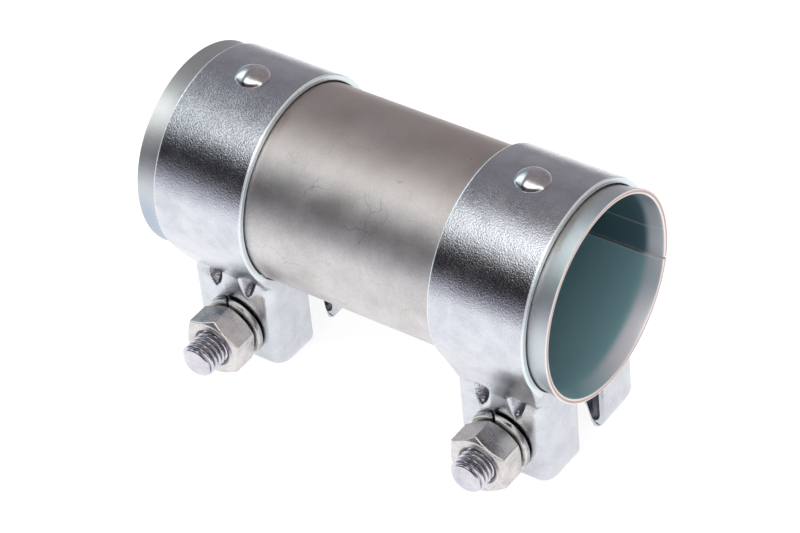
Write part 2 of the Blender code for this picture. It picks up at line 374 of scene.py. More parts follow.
@dataclass(frozen=True)
class SleevePlate(ZincPlate):
    """Satin zinc on rolled sheet: blotched outside, teal passivation inside, bare pink cut edges, painted
    light and shade.
    """

    dull_mark: str = "within"
    dull_metal: float = 0.35
    # Painted light: a warmer tint laid over the sheet's upper side.
    film: str = "#CBBBB1"
    inside: str = "#85ABB3"
    # The bare cut edge; the same colour also paints a highlight along the inner bend.
    edge: str = "#F2EAE6"
    # Painted shade on the inside wall, from the back over the top.
    above: str = "#4E6A74"
    # Painted light inside each mouth, where the collar's knots put it.
    collar: str = "#D2CED6"
    # A pale tone on the flares outside; inside each mouth this tone is painted light as well.
    mouth: str = "#CDD3D6"
    # Painted shade on the lower front of the flares, stronger on the left one.
    under: str = "#A9B4C4"
    core: str = "#A88C86"
    scratch: str = "#4A4644"
    scratch_depth: float = 0.42
    scratch_cell: float = 9.0
    scratch_patch: float = 10.0
    wander: float = 4.0
    wander_reach: float = 5.0

    def layers(self, tree: Tree, place: Socket) -> Layers:
        """Hairline scratches in patches, then the tints that follow the sheet's sides, mostly painted light
        and shade.

        Args:
            tree: the node tree.
            place: Object coordinates.

        Returns:
            Masks with their hex colours, the lowest first.
        """
        where = {"Vector": place}
        noise = add(tree, "TexNoise", {"Scale": 1 / (self.wander * MM), "Detail": 3.0}, where)
        reach = {"operation": "SCALE", "Scale": self.wander_reach * MM}
        push = add(tree, "VectorMath", reach, {0: noise.outputs["Color"]})
        moved = add(tree, "VectorMath", {"operation": "ADD"}, {0: place, 1: push.outputs[0]}).outputs[0]
        cells = {"feature": "DISTANCE_TO_EDGE", "Scale": 1 / (self.scratch_cell * MM)}
        crack = add(tree, "TexVoronoi", cells, {"Vector": moved}).outputs["Distance"]
        thin = {"From Min": 0.0, "From Max": 0.02, "To Min": self.scratch_depth, "To Max": 0.0}
        line = add(tree, "MapRange", thin, {"Value": crack}).outputs[0]
        patch = add(tree, "TexNoise", {"Scale": 1 / (self.scratch_patch * MM), "Detail": 2.0}, where)
        patch = add(tree, "MapRange", {"From Min": 0.54, "From Max": 0.64}, {"Value": patch.outputs["Fac"]})
        worn = add(tree, "Math", {"operation": "MULTIPLY"}, {0: line, 1: patch.outputs[0]}).outputs[0]
        layers = [(worn, self.scratch)]
        # Painted light and shade: the warm top tint, under, above, collar, the bend line and mouth inside;
        # the rest is the sheet's own.
        for key, code in (("film", self.film), ("mouth", self.mouth), ("under", self.under),
                          ("inside", self.inside), ("above", self.above), ("collar", self.collar),
                          ("bend", self.edge), ("edge", self.edge), ("core", self.core)):
            layers.append((add(tree, "Attribute", {"attribute_name": key}).outputs["Fac"], code))
        return layers


# ---- sleeve ----


@dataclass
class Sleeve:
    """One sheet rolled into a tube, its ends a slit apart at the back, both mouths flared.

    Angles are in degrees from the back (+Y) up over the top. The collar's knots say how much
    light the inside of each mouth shows at each angle.
    """

    axis: Vector
    length: float
    rim_radius: float
    wall: float = 1.4 * MM
    bore: float = 25.45 * MM
    flare_length: float = 6.5 * MM
    flare_power: float = 1.4
    lip_length: float = 0.3 * MM
    lip_points: int = 11
    slit: float = 0.6 * MM
    slit_deg: float = -14.0
    bend_deg: float = 5.0
    bend_rise: float = 0.2 * MM
    dies_away_deg: tuple[float, float] = (285.0, 346.0)
    steps: int = 380
    bend_steps: int = 24
    sharp_deg: float = 32.0
    # Painted light inside the mouths: its strength at each angle round them.
    collar_deg: tuple[float, ...] = (
        -180, -150, -118, -95, -78, -60, -45, -30, -16, -6, 8, 20, 34, 46, 58, 70, 84, 110, 180)
    collar_light: tuple[float, ...] = (
        0.5, 0.2, 0, 0.3, 0.85, 1, 0.7, 0.4, 0.5, 0.9, 0.75, 0.7, 0.35, 0.45, 1, 0.9, 0.6, 0.5, 0.5)

    def profile(self) -> np.ndarray:
        """Closed wall profile.

        The outer line runs along x at radius bore + wall + flare, where flare grows as the
        1.4th power of the distance past its start; a flattened half circle rounds each rim.

        Returns:
            Rows of (x, radius, inside, edge, mouth, core): inside is 1 on the inner face, edge
            marks the rims, mouth grows towards them and passes 1 inside, core is a rim's middle.
        """
        half = self.length / 2
        outer = self.bore + self.wall
        flare = self.rim_radius - outer
        lip = self.wall / 2
        straight, end = half - self.flare_length, half - self.lip_length
        x = np.concatenate([np.linspace(0, straight, 24), np.linspace(straight, end, 14)[1:]])
        x = np.concatenate([-x[::-1], x[1:]])
        rises = flare * np.clip((np.abs(x) - straight) / self.flare_length, 0, 1) ** self.flare_power
        t = np.linspace(0, np.pi, self.lip_points + 2)[1:-1]
        cap_r = outer - lip + flare + lip * np.sign(np.cos(t)) * np.abs(np.cos(t)) ** 0.7
        cap_x = end + self.lip_length * np.sin(t) ** 0.6
        mouth = smooth(half - 7.5 * MM, half - 2 * MM, np.abs(x))
        # How far the painted light inside each mouth reaches in from the rim.
        bright = smooth(half - 5.6 * MM, half - 3.2 * MM, np.abs(x))
        core = np.clip(1 - np.abs(t - np.pi / 2) / 0.6, 0, 1)
        none, all_on = np.zeros_like(x), np.ones_like(x)
        edge, round_on = np.full_like(t, 0.9), np.ones_like(t)
        parts = [
            np.stack([x, outer + rises, none, none, mouth, none], 1),
            np.stack([cap_x, cap_r, 0 * t, edge, round_on, core], 1),
            np.stack([x, outer - self.wall + rises, all_on, none, 1 + bright, none], 1)[::-1],
            np.stack([-cap_x, cap_r, 0 * t, edge, round_on, core], 1)[::-1],
        ]
        return np.concatenate(parts)

    def build(self) -> Item:
        """Carry the wall profile round the axis.

        At angle a, from +Y towards +Z, a profile point (x, r) goes to
        (x, (r + s) cos a, (r + s) sin a); s is how far the sheet's ends stand out, which grows
        evenly past a faint bend and dies away below the slit.

        Returns:
            The sleeve.
        """
        profile = self.profile()
        x, base = profile[:, 0], profile[:, 1]
        first = self.slit_deg + 360 - math.degrees(self.slit / self.bore)
        turn = np.concatenate([np.linspace(first, self.bend_deg, self.steps)[:-1],
                               np.linspace(self.bend_deg, self.slit_deg, self.bend_steps)])
        stand = np.clip((self.bend_deg - turn) / (self.bend_deg - self.slit_deg), 0, 1)
        stand = self.bend_rise * stand + self.bend_rise * smooth(*self.dies_away_deg, turn)
        a = np.radians(turn)[:, None]
        wobble = 0.03 * MM * np.sin(3 * a + 0.6) + 0.02 * MM * np.sin(7 * a + x * 60)
        radius = base + stand[:, None] + wobble
        points = np.stack([np.broadcast_to(x, radius.shape), radius * np.cos(a), radius * np.sin(a)], -1)
        rows, cols = radius.shape
        faces = list(grid_faces(rows, cols, Edge.OPEN, Edge.ROUND)) + self.end_caps(rows, cols)
        marks = {key: np.broadcast_to(value, (rows, cols)).reshape(-1)
                 for key, value in self.marks(profile, turn).items()}
        points = points.reshape(-1, 3) + np.array(self.axis)
        return make_piece("rolled_sleeve", points, faces, self.sharp_deg, marks)

    def marks(self, profile: np.ndarray, turn: np.ndarray) -> dict[str, np.ndarray]:
        """Where each tint of the sleeve's finish lies; several of them are painted light and shade.

        Args:
            profile: the wall's points, as profile gives them.
            turn: angle of each row, in degrees.

        Returns:
            A strength for every angle and profile point, by the tint's name.
        """
        x, _, inside, edge, mouth, core = profile.T
        ends = np.zeros((len(turn), 1))
        ends[[0, -1]] = 0.3
        # Painted light inside each mouth, strongest towards the rims; the teal gives way under it.
        light = np.interp((turn + 180) % 360 - 180, self.collar_deg, self.collar_light)
        lip = light[:, None] * np.clip(mouth - 1, 0, 1) * inside
        deep = inside * (1 - 0.75 * lip)
        outside = (inside == 0) & (edge == 0)
        # Outside, a pale tone on the flares; inside, the painted light.
        pale = np.where(inside > 0, lip, np.clip(mouth, 0, 1))
        # Painted shade on the lower front of the flares.
        below = (smooth(165, 190, turn) * (turn < 300))[:, None] * pale * outside
        # The upper side, from 15 to 140 degrees, where the warm painted tint lies.
        front = (smooth(15, 50, turn) * smooth(140, 105, turn))[:, None]
        # A painted highlight along the bend, on the inner face.
        crest = np.clip(1 - np.abs(turn - self.bend_deg) / 0.7, 0, 1)[:, None]
        return {
            # painted light: the warm tint on the upper side
            "film": 0.55 * front * outside * (mouth < 0.5),
            "under": below * np.where(x < 0, 0.9, 0.4),
            "mouth": pale,
            "inside": deep,
            # painted shade on the inside wall, from the back over the top
            "above": ((turn < 200) * smooth(190, 100, turn))[:, None] * deep,
            "collar": 0.9 * lip,
            "core": core,
            "edge": np.maximum(edge, ends),
            "within": inside,
            # painted highlight along the inner bend
            "bend": 0.3 * crest * inside,
        }

    def end_caps(self, rows: int, cols: int) -> list[np.ndarray]:
        """Quads across the sheet's two cut ends, from the outer line to the inner line.

        Args:
            rows: rows of the grid, one for each angle.
            cols: points in a row.

        Returns:
            The faces of both ends.
        """
        lip = self.lip_points
        line = (cols - 2 * lip) // 2
        i = np.arange(line - 1)
        inner = line + lip + (line - 1 - i)
        quads = np.stack([i, i + 1, inner - 1, inner], 1)
        rim = np.arange(line - 1, line + lip + 1)
        far = np.concatenate([np.arange(cols - lip - 1, cols), [0]])
        last = (rows - 1) * cols
        caps = [*quads, rim, far]
        return caps + [cap[::-1] + last for cap in caps]


# ---- band ----


@dataclass
class Strip:
    """Rows of the band's cross-section, each row a closed loop about a face and a rim point.

    Outer and rim are (y, z) points. Width, corner and inner are the half width, the corner's
    radius and the hollow's half width; floor is the hollow's depth, crease the distance below
    the crease.
    """

    outer: np.ndarray
    rim: np.ndarray
    width: np.ndarray
    corner: np.ndarray
    floor: np.ndarray
    inner: np.ndarray
    crease: np.ndarray

    def joined(self, other: "Strip") -> "Strip":
        """This strip's rows followed by another's."""
        return Strip(*map(np.concatenate, zip(vars(self).values(), vars(other).values())))

    def backwards(self) -> "Strip":
        """The rows in the opposite order."""
        return Strip(*(rows[::-1] for rows in vars(self).values()))

    def mirrored(self) -> "Strip":
        """The rows with their outward direction turned to -Y."""
        flip = np.array([-1.0, 1.0])
        return replace(self, outer=self.outer * flip, rim=self.rim * flip)


@dataclass
class Band:
    """A strip round the sleeve, pressed into a box-shaped ear at each end.

    Angles are in degrees below the horizon. The darts are the dents under the crease.
    """

    side: Side
    centre: Vector
    front_plate: float
    front_rim: float
    foot: float
    bolt_drop: float
    radius: float = 27.15 * MM
    strip: float = 1.7 * MM
    half: float = 14.0 * MM
    ear_half: float = 13.3 * MM
    corner: float = 3.4 * MM
    foot_corner: float = 5.5 * MM
    back_plate: float = 21.0 * MM
    back_rim: float = 6.0 * MM
    leaves_deg: float = 24.0
    leaves_power: float = 2.5
    crease_deg: float = 50.0
    crease_fall: float = 3.2 * MM
    fade_in: float = 13.0 * MM
    row_step: float = 0.6 * MM
    edge_round: float = 0.6 * MM
    lip: float = 0.3 * MM
    slant: float = 2.8 * MM
    dart_offset: float = 5.2 * MM
    dart_depth: float = 2.5 * MM
    dart_half: float = 2.6 * MM
    facet_depth: float = 1.9 * MM
    dart_fall: float = 5.6 * MM
    dart_top: float = 0.9 * MM
    facet: float = 8.3 * MM
    scoop: float = 7.6 * MM
    hole: float = 5.5 * MM
    drill_reach: float = 45.0 * MM
    sheared: tuple[float, float] = (0.58 * MM, 0.45 * MM)
    sharp_deg: float = 48.0

    def ear(self, plate: float, rim: float) -> Strip:
        """Rows from where the strip leaves the sleeve down to the ear's foot.

        The face leaves the circle with the 2.5th power of the angle, meets the plate at the crease
        and runs straight down; the free edge follows the sleeve and then drops as the rim.

        Args:
            plate: distance of the plate's face from the middle plane.
            rim: distance of the ear's free edge from the middle plane.

        Returns:
            The rows.
        """
        share = np.linspace(0, 1, 26)
        deg = self.leaves_deg + (self.crease_deg - self.leaves_deg) * share
        a = np.radians(deg)
        inside = self.radius + 0 * share
        reach = plate / math.cos(math.radians(self.crease_deg))
        face = self.radius + self.strip + (reach - self.radius - self.strip) * share ** self.leaves_power
        ray = np.stack([np.cos(a), -np.sin(a)], 1)
        mix = smooth(0, 1, share)
        width = self.half + (self.ear_half - self.half) * mix
        crease_z = -plate * math.tan(math.radians(self.crease_deg))
        corner = self.edge_round + (self.corner - self.edge_round) * mix
        low = Strip(face[:, None] * ray, inside[:, None] * ray, width, corner,
                    face - inside - self.strip, width - self.strip, -(1 - share) * self.fade_in)
        turn = np.linspace(0, 1, 15)[1:]
        end = math.degrees(math.acos(rim / self.radius))
        a = np.radians(self.crease_deg + (end - self.crease_deg) * turn)
        inside = self.radius + 0 * turn
        outer = np.stack([plate + 0 * turn, crease_z - self.crease_fall * turn], 1)
        edge = inside[:, None] * np.stack([np.cos(a), -np.sin(a)], 1)
        ones = np.ones_like(turn)
        bend = Strip(outer, edge, self.ear_half * ones, self.corner * ones,
                     np.linalg.norm(outer - edge, axis=1) - self.strip, (self.ear_half - self.strip) * ones,
                     crease_z - outer[:, 1])
        round_z, slant_z, floor_z = (self.foot + d for d in (self.foot_corner, self.slant, self.strip))
        start_z = crease_z - self.crease_fall - self.row_step
        z = np.concatenate([np.linspace(start_z, round_z, 34), np.linspace(round_z, floor_z, 16)[1:],
                            [floor_z - 1e-6], np.linspace(floor_z, self.foot, 7)[1:]])
        drop = np.clip((round_z - z) / (round_z - slant_z), 0, 1)
        face = plate - self.corner * (1 - np.sqrt(np.clip(1 - drop ** 2, 0, 1)))
        slant = np.clip((slant_z - z) / (slant_z - self.foot), 0, 1)
        face = np.where(z < slant_z, (plate - self.corner) * (1 - slant) + (rim + self.strip) * slant, face)
        width = self.rounded(z, self.foot_corner, self.ear_half)
        inner = self.rounded(z, self.foot_corner - self.strip, self.ear_half - self.strip)
        hollow = (face - rim - self.strip) * np.clip((z - floor_z) / (round_z - floor_z), 0, 1) ** 0.6
        solid = z < floor_z - 1e-7
        hollow = np.where(solid, 0, hollow)
        inner = np.where(solid, width - self.strip, inner)
        down = Strip(np.stack([face, z], 1), np.stack([rim + 0 * z, z], 1), width,
                     np.minimum(self.corner, (face - rim) / 2), hollow, inner, crease_z - z)
        return low.joined(bend).joined(down)

    def rounded(self, z: np.ndarray, radius: float, half: float) -> np.ndarray:
        """Half width of an ear whose two foot corners are quarter circles.

        Args:
            z: heights.
            radius: the corners' radius.
            half: half width above them.

        Returns:
            The half width at each height.
        """
        drop = np.clip((self.foot + self.foot_corner - z) / radius, 0, 1)
        return half - radius + radius * np.sqrt(1 - drop ** 2)

    def round_sleeve(self) -> Strip:
        """Rows round the sleeve between the two ears, where the section is a plain strip.

        Returns:
            The rows, from front to back over the top.
        """
        deg = np.linspace(-self.leaves_deg, 180 + self.leaves_deg, 120)[1:-1]
        a = np.radians(deg)
        inside = self.radius + 0 * deg
        ray = np.stack([-np.cos(a), np.sin(a)], 1)
        ones = np.ones_like(deg)
        far_off = -50 * MM * ones
        return Strip((inside + self.strip)[:, None] * ray, inside[:, None] * ray, self.half * ones,
                     self.edge_round * ones, 0 * ones, (self.half - 0.35 * MM) * ones, far_off)

    def pressed(self, x: np.ndarray, crease: np.ndarray) -> np.ndarray:
        """Depth of the dents under the crease, one on each side.

        A shallow three-sided facet runs from the ear's corner in to a pocket. Across the ear the
        pocket is a parabola that narrows and dies away down to the dart's foot.

        Args:
            x: offset across the band.
            crease: distance below the crease, negative above it.

        Returns:
            The depth.
        """
        off = np.abs(x)
        above = np.clip(1 + crease / self.dart_top, 0, 1)
        reach = np.where(crease > 0, np.clip(1 - crease / self.dart_fall, 0, 1), above)
        across = np.clip((off - self.dart_offset) / (self.dart_half * np.maximum(reach, 0.05) ** 0.5), -1, 1)
        pocket = self.dart_depth * (1 - across**2) * reach ** 0.6
        out = np.clip((off - self.dart_offset) / self.facet, 0, 1)
        edge = self.dart_fall * (1 - 0.8 * out)
        slope = np.where(crease > 0, np.clip(1 - crease / edge, 0, 1), above)
        inner = np.clip((off - self.dart_offset) / self.dart_half + 1, 0, 1)
        return pocket + self.facet_depth * np.where(off < self.dart_offset, inner * reach, (1 - out) * slope)

    def loops(self, rows: Strip) -> np.ndarray:
        """Closed loops of every row.

        A loop runs over the face, round a corner arc, down the wall, across the rim, up the
        inside wall and back along the inside face.

        Args:
            rows: the strip's rows.

        Returns:
            Points as (row, column, 3), before the band is moved into place.
        """
        gap = rows.outer - rows.rim
        depth = np.linalg.norm(gap, axis=1)
        way = gap / depth[:, None]
        corner = np.minimum(rows.corner, depth * 0.55)
        u = np.linspace(-1, 1, 81)
        flat = rows.width - corner
        face_x = flat[:, None] * u
        face_d = depth[:, None] - self.pressed(face_x, rows.crease[:, None])
        t = np.linspace(0, np.pi / 2, 9)[1:]
        arc_x = flat[:, None] + corner[:, None] * np.sin(t)
        lean = self.pressed(flat, rows.crease)[:, None] * (1 - np.linspace(0, 1, 9)[1:])
        arc_d = (depth - corner)[:, None] + corner[:, None] * np.cos(t) - lean
        lip = np.minimum(self.lip, depth * 0.2)[:, None]
        w = np.linspace(1, 0, 7)[1:]
        wall_d = lip + ((depth - corner)[:, None] - lip) * w
        wall_x = np.broadcast_to(rows.width[:, None], wall_d.shape)
        q = np.linspace(0, np.pi / 2, 4)[1:]
        lip_x = rows.width[:, None] - lip * (1 - np.cos(q))
        lip_d = lip * (1 - np.sin(q))
        hem_x = rows.inner[:, None] + lip * np.array([[1.0, 0.4, 0.0]])
        hem_x = np.minimum(hem_x, lip_x[:, -1:])
        hem_d = lip * np.array([[0.0, 0.1, 0.5]]) * np.clip(rows.floor / (2 * MM), 0, 1)[:, None]
        up = np.linspace(0, 1, 6)[1:]
        in_d = hem_d[:, -1:] + (np.maximum(rows.floor, hem_d[:, -1])[:, None] - hem_d[:, -1:]) * up
        in_x = np.broadcast_to(rows.inner[:, None], in_d.shape)
        half_x = np.concatenate([arc_x, wall_x, lip_x, hem_x, in_x], 1)
        half_d = np.concatenate([arc_d, wall_d, lip_d, hem_d, in_d], 1)
        under_x = rows.inner[:, None] * u[::-1][1:-1]
        dent = self.pressed(under_x, rows.crease[:, None])
        under_d = np.clip(rows.floor[:, None] - dent, 0, None)
        x = np.concatenate([face_x, half_x, under_x, -half_x[:, ::-1]], 1)
        d = np.concatenate([face_d, half_d, under_d, half_d[:, ::-1]], 1)
        return np.concatenate([x[..., None], rows.rim[:, None, :] + way[:, None, :] * d[..., None]], -1)

    def build(self) -> Item:
        """Loft the loops from the front ear's foot, over the sleeve, to the back ear's foot.

        Returns:
            The band, its bolt holes cut.
        """
        front = self.ear(self.front_plate, self.front_rim).mirrored().backwards()
        rows = front.joined(self.round_sleeve()).joined(self.ear(self.back_plate, self.back_rim))
        grid = self.scooped(self.softened(self.loops(rows)))
        count, cols = grid.shape[:2]
        points = grid.reshape(-1, 3) + np.array(self.centre)
        faces = list(grid_faces(count, cols, Edge.OPEN, Edge.ROUND))
        faces += [list(range(cols))[::-1], list(range((count - 1) * cols, count * cols))]
        low, high = (self.half - inset for inset in self.sheared)
        edge = smooth(low, high, np.abs(grid[..., 0])).reshape(-1)
        band = make_piece(f"band_strip_{self.side.value}", points, faces, self.sharp_deg, {"second": edge})
        r, reach = self.hole, self.drill_reach
        ring, quads = spun(np.array([(0.0, -reach), (r, -reach), (r, reach), (0.0, reach)]), 64)
        ring = ring + np.array(self.centre) + np.array([0, 0, -self.bolt_drop])
        drill = make_piece("drill", ring, list(quads))
        cut(band, drill)
        return band

    def scooped(self, grid: np.ndarray) -> np.ndarray:
        """Draw the foot's free edge back towards the plate between the ear's corners.

        A foot point at offset x moves outwards by scoop (1 + cos(pi x / reach)) / 2 times
        (1 - t)^2, where t runs from 0 at the rim to 1 at the plate.

        Args:
            grid: points as (row, column, 3), about the band's centre.

        Returns:
            The moved points.
        """
        x, y, z = grid[..., 0], grid[..., 1], grid[..., 2]
        plate = np.where(y < 0, self.front_plate, self.back_plate)
        rim = np.where(y < 0, self.front_rim, self.back_rim)
        t = np.clip((np.abs(y) - rim) / (plate - rim), 0, 1)
        wide = np.clip(np.abs(x) / (self.ear_half - self.strip), 0, 1)
        shift = self.scoop * 0.5 * (1 + np.cos(np.pi * wide)) * (1 - t) ** 2
        shift = shift * (z < self.foot + self.foot_corner)
        return np.stack([x, y + np.sign(y) * shift, z], -1)

    def softened(self, grid: np.ndarray) -> np.ndarray:
        """Average each row with its neighbours a few times near the crease, so that it bends.

        Args:
            grid: points as (row, column, 3), about the band's centre; they are changed.

        Returns:
            The same points.
        """
        for _ in range(3):
            inner = 0.25 * grid[:-2] + 0.5 * grid[1:-1] + 0.25 * grid[2:]
            z = grid[1:-1, :, 2:3]
            keep = ((z > self.foot + 8 * MM) & (z < -10 * MM)).astype(float)
            keep = keep * (1 - 0.75 * smooth(2 * MM, 4.5 * MM, np.abs(grid[1:-1, :, 0:1])))
            grid[1:-1] = grid[1:-1] * (1 - keep) + inner * keep
        return grid


# ---- rivet and fasteners ----


@dataclass
class Rivet:
    """Domed rivet on the top of a band."""

    side: Side
    centre: Vector
    seat: float
    bore: float = 25.45 * MM
    head: float = 4.6 * MM
    height: float = 2.1 * MM
    shank: float = 2.5 * MM
    stand: float = 0.15 * MM

    def build(self) -> Item:
        """Turn the dome about Z; its foot bends down to follow the band.

        The dome is height (1 - (r / head)^2)^0.6 above the seat; the foot drops by y^2 / (2 seat).

        Returns:
            The rivet.
        """
        r = np.linspace(0, 1, 22)
        dome = np.stack([self.head * r, self.seat + self.height * (1 - r ** 2) ** 0.6 + self.stand], 1)
        skirt = np.array([(self.head + 0.02 * MM, self.seat + 0.12 * MM), (self.head, self.seat - 0.02 * MM),
                          (self.shank, self.seat), (self.shank, self.bore), (0.0, self.bore)])
        points, faces = spun(np.concatenate([dome, skirt]), 72)
        points = points[:, [0, 2, 1]]
        points[:, 2] -= points[:, 1] ** 2 / (2 * self.seat) * (points[:, 2] > self.seat - 0.5 * MM)
        points += np.array(self.centre)
        return make_piece(f"dome_rivet_{self.side.value}", points, list(faces), 60.0)


@dataclass
class Hexagon:
    """Shape shared by nut and bolt head: a hexagon with its corners turned off."""

    flats: float = 16.0 * MM
    samples: int = 16
    land: float = 0.955
    chamfer_deg: float = 30.0
    plain_round: float = 0.12 * MM

    def ring(self, turn: float) -> tuple[np.ndarray, np.ndarray]:
        """Angles round the hexagon and its radius there.

        The radius is flats / 2 over the cosine of the angle from the nearest flat's middle.

        Args:
            turn: angle of the first corner, in radians.

        Returns:
            Angles and radii.
        """
        a = np.arange(6 * self.samples) * np.pi / 3 / self.samples
        return a + turn, self.flats / 2 / np.cos((a % (np.pi / 3)) - np.pi / 6)

    def side_rows(self, radius: np.ndarray, y0: float, y1: float, both: bool) -> list[np.ndarray]:
        """Rings from one face to the other: (radius, y) for each angle.

        Each chamfer is a 30 degree cone that meets the face at 0.955 of the half flats.

        Args:
            radius: hexagon radius at each angle.
            y0: first face, which is turned off.
            y1: second face.
            both: whether the second face is turned off too.

        Returns:
            Ring rows of (radius, y).
        """
        land = np.full_like(radius, self.flats / 2 * self.land)
        fall = (radius - land) * math.tan(math.radians(self.chamfer_deg))
        way = math.copysign(1.0, y1 - y0)
        rings = [(land, y0), (radius, y0 + way * fall)]
        if both:
            rings += [(radius, y1 - way * fall), (land, y1)]
        else:
            rings += [(radius, y1 - way * self.plain_round), (radius * 0.995, y1)]
        return [np.stack([r, np.broadcast_to(y, r.shape)], 1) for r, y in rings]


def rings_to_points(rows: list[np.ndarray], angles: np.ndarray) -> np.ndarray:
    """Place rings about the Y axis: (r, y) at angle a goes to (r cos a, y, r sin a).

    Args:
        rows: rings of (radius, y), one pair for each angle.
        angles: angle of each pair.

    Returns:
        Points as (ring, angle, 3).
    """
    stack = np.stack(rows)
    return np.stack([stack[..., 0] * np.cos(angles), stack[..., 1], stack[..., 0] * np.sin(angles)], -1)


def soften_edges(item: Item, width: float, over_deg: float = 28.0) -> None:
    """Round an object's sharp edges a little.

    Args:
        item: the object.
        width: how far the rounding reaches from an edge.
        over_deg: edges sharper than this are rounded.
    """
    step = item.modifiers.new("worn edges", "BEVEL")
    step.width = width
    step.segments = 2
    step.limit_method = "ANGLE"
    step.angle_limit = math.radians(over_deg)
    step.harden_normals = False


@dataclass
class Thread:
    """M10 outside thread, rolled."""

    major: float = 4.9 * MM
    minor: float = 4.1 * MM
    pitch: float = 1.5 * MM

    def radius(self, y: np.ndarray, angle: np.ndarray) -> np.ndarray:
        """Radius of the thread: a rounded triangle wave of y / pitch + angle / (2 pi).

        Args:
            y: place along the axis.
            angle: angle round it, in radians.

        Returns:
            The radius there.
        """
        phase = (y / self.pitch + angle / (2 * np.pi)) % 1.0
        return self.minor + (self.major - self.minor) * smooth(0.12, 0.82, np.abs(phase * 2 - 1))


@dataclass
class Bolt:
    """Hex-headed bolt, its thread rolled, head behind the back ear."""

    side: Side
    axis: Vector
    head_back: float
    head_face: float
    tip: float
    thread: Thread = field(default_factory=Thread)
    hexagon: Hexagon = field(default_factory=Hexagon)
    threaded: float = 30.0 * MM
    thread_step: float = 0.1 * MM
    chamfer: float = 1.1 * MM
    chamfer_length: float = 0.9 * MM
    sharp_deg: float = 35.0

    def build(self) -> Item:
        """Head rings, plain shank, then the thread to the chamfered tip.

        Returns:
            The bolt.
        """
        angles, radius = self.hexagon.ring(0.0)
        flat = np.zeros_like(radius)
        y0, y1 = self.head_back, self.head_face
        rows = [np.stack([flat, y0 + flat], 1), np.stack([flat + 5.6 * MM, y0 + flat], 1)]
        rows += self.hexagon.side_rows(radius, y0, y1, both=False)
        major = self.thread.major
        start = self.tip + self.threaded
        for r, y in ((major + 0.5 * MM, y1), (major, y1 - 0.4 * MM), (major, start + 0.6 * MM)):
            rows.append(np.stack([r + flat, y + flat], 1))
        y = np.arange(start, self.tip, -self.thread_step)[:, None]
        r = self.thread.radius(y, angles[None, :])
        r = major - (major - r) * smooth(0, 2.0 * MM, start - y)
        cone = major - self.chamfer * np.clip(1 - (y - self.tip) / self.chamfer_length, 0, 1)
        r = np.minimum(r, cone)
        rows += list(np.stack([r, np.broadcast_to(y, r.shape)], -1))
        end = major - self.chamfer
        for r, y in ((end, self.tip), (end - 0.35 * MM, self.tip - 0.05 * MM),
                     (1.5 * MM, self.tip - 0.02 * MM), (0.0, self.tip)):
            rows.append(np.stack([r + flat, y + flat], 1))
        grid = rings_to_points(rows, angles)
        points = grid.reshape(-1, 3) + np.array(self.axis)
        faces = list(grid_faces(len(rows), len(angles), Edge.OPEN, Edge.ROUND))
        ring = np.stack(rows)
        deep = (major - ring[..., 0]) / (major - self.thread.minor)
        root = smooth(0.35, 1.0, deep) * (ring[..., 1] < start) * (ring[..., 1] > self.tip + 0.8 * MM)
        marks = {"second": 0.85 * root.reshape(-1)}
        return make_piece(f"hex_bolt_{self.side.value}", points, faces, self.sharp_deg, marks)


@dataclass
class Nut:
    """Hex nut, both ends turned off, with a countersunk bore."""

    side: Side
    axis: Vector
    seat: float
    face: float
    turn: float
    bore: float = 5.0 * MM
    countersink: tuple[float, float] = (0.75 * MM, 0.8 * MM)
    worn: float = 0.22 * MM
    sharp_deg: float = 28.0
    hexagon: Hexagon = field(default_factory=Hexagon)

    def build(self) -> Item:
        """Rings over the outside and back through the bore.

        Returns:
            The nut.
        """
        angles, radius = self.hexagon.ring(self.turn)
        flat = np.zeros_like(radius)
        rows = self.hexagon.side_rows(radius, self.seat, self.face, both=True)
        wide = self.bore + self.countersink[0]
        deep = math.copysign(self.countersink[1], self.face - self.seat)
        for r, y in ((wide, self.face), (self.bore, self.face - deep), (self.bore, self.seat + deep),
                     (wide, self.seat)):
            rows.append(np.stack([r + flat, y + flat], 1))
        grid = rings_to_points(rows, angles)
        points = grid.reshape(-1, 3) + np.array(self.axis)
        faces = list(grid_faces(len(rows), len(angles), Edge.ROUND, Edge.ROUND))
        item = make_piece(f"hex_nut_{self.side.value}", points, faces, self.sharp_deg)
        soften_edges(item, self.worn)
        return item


@dataclass
class SpringWasher:
    """Split ring of square wire, wound with a slight rise."""

    side: Side
    axis: Vector
    seat: float
    face: float
    inner: float = 5.25 * MM
    outer: float = 9.05 * MM
    rise: float = 0.28 * MM
    split_deg: float = 96.0
    gap_deg: float = 7.0
    slant_deg: float = 5.0
    squareness: float = 0.28

    def build(self) -> Item:
        """Carry a rounded square round the axis, its ends cut on a slant.

        The square is (sign(c) |c|^p, sign(s) |s|^p) with c and s the cosine and sine of a turn.

        Returns:
            The washer.
        """
        thick = abs(self.face - self.seat) - self.rise
        t = np.linspace(0, 2 * np.pi, 33)[:-1]
        across, along = (np.sign(v) * np.abs(v) ** self.squareness for v in (np.cos(t), np.sin(t)))
        mid, half = (self.inner + self.outer) / 2, (self.outer - self.inner) / 2
        u = np.linspace(0, 1, 140)[:, None]
        start, sweep = self.split_deg + self.gap_deg / 2, 360 - self.gap_deg
        a = np.radians(start + sweep * u + self.slant_deg * along)
        r = np.broadcast_to(mid + half * across, a.shape)
        y = self.seat - thick / 2 - self.rise * u + thick / 2 * along
        points = np.stack([r * np.cos(a), y, r * np.sin(a)], -1)
        rows, cols = a.shape
        faces = list(grid_faces(rows, cols, Edge.OPEN, Edge.ROUND))
        faces += [list(range(cols))[::-1], list(range((rows - 1) * cols, rows * cols))]
        points = points.reshape(-1, 3) + np.array(self.axis)
        return make_piece(f"split_washer_{self.side.value}", points, faces)


